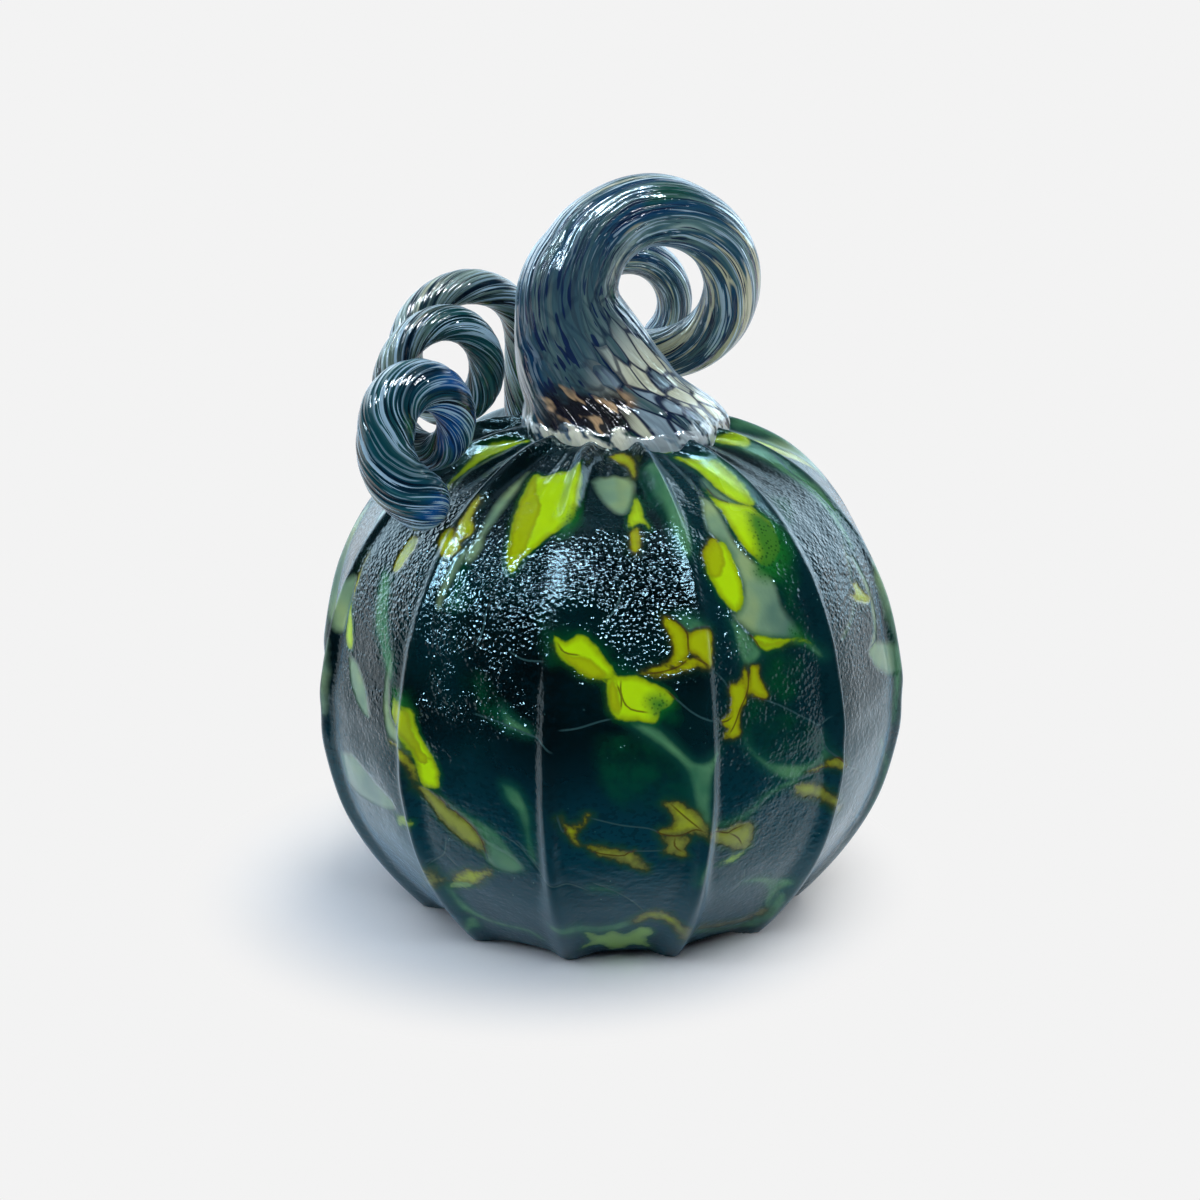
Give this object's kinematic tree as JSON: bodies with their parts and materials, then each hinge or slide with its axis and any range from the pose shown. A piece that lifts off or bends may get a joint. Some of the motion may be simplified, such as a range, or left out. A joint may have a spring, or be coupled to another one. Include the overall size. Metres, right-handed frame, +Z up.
{
  "type": "glass pumpkin",
  "caption": "Blown-glass pumpkin ornament: hollow ribbed body with a curled glass stem and a coiled glass tendril, standing on its ribs' feet.",
  "frame": {"origin": "under the middle of the ribbed body, on the surface it stands on", "axes": "+Z up from the table to the stem, the front of the pumpkin faces -Y, the curl of the stem opens to +X and the tendril hangs over the -X shoulder"},
  "size_m": [0.1218, 0.1218, 0.1525],
  "materials": {
    "body_glass": "near-black teal and dark green glass with a fine leathery surface, lime, mustard and sage blotches and thin veins, glossy",
    "stem_glass": "silver-blue luster glass with twisted dark navy streaks, glossy",
    "tendril_glass": "cobalt to grey-green glass with twisted white stripes, glossy"
  },
  "bodies": {
    "root": {"body": "body_glass", "stem": "stem_glass", "tendril": "tendril_glass"}
  },
  "joints": []
}
